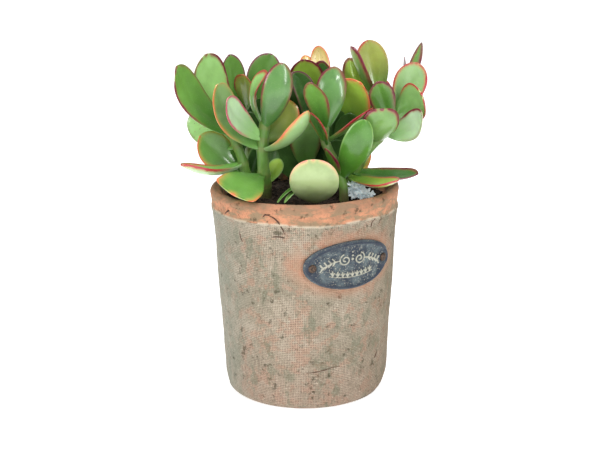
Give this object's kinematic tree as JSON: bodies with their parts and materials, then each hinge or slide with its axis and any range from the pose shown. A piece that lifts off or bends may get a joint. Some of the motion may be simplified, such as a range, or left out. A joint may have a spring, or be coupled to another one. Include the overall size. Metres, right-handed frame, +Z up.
{
  "type": "potted jade plant",
  "caption": "Bushy succulent with plump oval leaves on short stems, growing in a tapered clay pot with a rolled rim and an oval label plate.",
  "frame": {"origin": "middle of the pot's flat underside", "axes": "+Z up through the plant, -Y towards the front, +X to the right as seen from the front; the label plate sits right of the front"},
  "size_m": [0.1849, 0.1463, 0.262],
  "materials": {
    "clay": "matte, cloth-textured terracotta",
    "soil": "loose, matte",
    "plate": "worn paint",
    "nail": "rusted",
    "lichen": "matte",
    "stem": "satin, fleshy",
    "leaf": "waxy"
  },
  "bodies": {
    "root": {"pot": "clay", "label_plate": "plate", "label_nail_1": "nail", "label_nail_2": "nail", "soil": "soil", "lichen_tuft": "lichen", "left_stem": "stem", "left_leaf_1": "leaf", "left_leaf_2": "leaf", "left_leaf_3": "leaf", "left_leaf_4": "leaf", "left_leaf_5": "leaf", "front_left_stem": "stem", "front_left_leaf_1": "leaf", "front_left_leaf_2": "leaf", "front_left_leaf_3": "leaf", "front_left_leaf_4": "leaf", "front_left_leaf_5": "leaf", "front_left_leaf_6": "leaf", "front_left_leaf_7": "leaf", "front_left_leaf_8": "leaf", "centre_stem": "stem", "centre_leaf_1": "leaf", "centre_leaf_2": "leaf", "centre_leaf_3": "leaf", "centre_leaf_4": "leaf", "centre_leaf_5": "leaf", "sprout_stem": "stem", "sprout_leaf_1": "leaf", "right_stem": "stem", "right_leaf_1": "leaf", "right_leaf_2": "leaf", "right_leaf_3": "leaf", "right_leaf_4": "leaf", "right_leaf_5": "leaf", "right_leaf_6": "leaf", "right_leaf_7": "leaf", "right_leaf_8": "leaf", "right_leaf_9": "leaf", "right_leaf_10": "leaf", "back_right_stem": "stem", "back_right_leaf_1": "leaf", "back_right_leaf_2": "leaf", "back_right_leaf_3": "leaf", "back_right_leaf_4": "leaf", "back_right_leaf_5": "leaf", "back_right_leaf_6": "leaf", "back_left_stem": "stem", "back_left_leaf_1": "leaf", "back_left_leaf_2": "leaf", "back_left_leaf_3": "leaf", "back_left_leaf_4": "leaf", "back_left_leaf_5": "leaf", "back_centre_stem": "stem", "back_centre_leaf_1": "leaf", "back_centre_leaf_2": "leaf", "back_centre_leaf_3": "leaf", "back_centre_leaf_4": "leaf", "back_centre_leaf_5": "leaf", "back_centre_leaf_6": "leaf"}
  },
  "joints": []
}
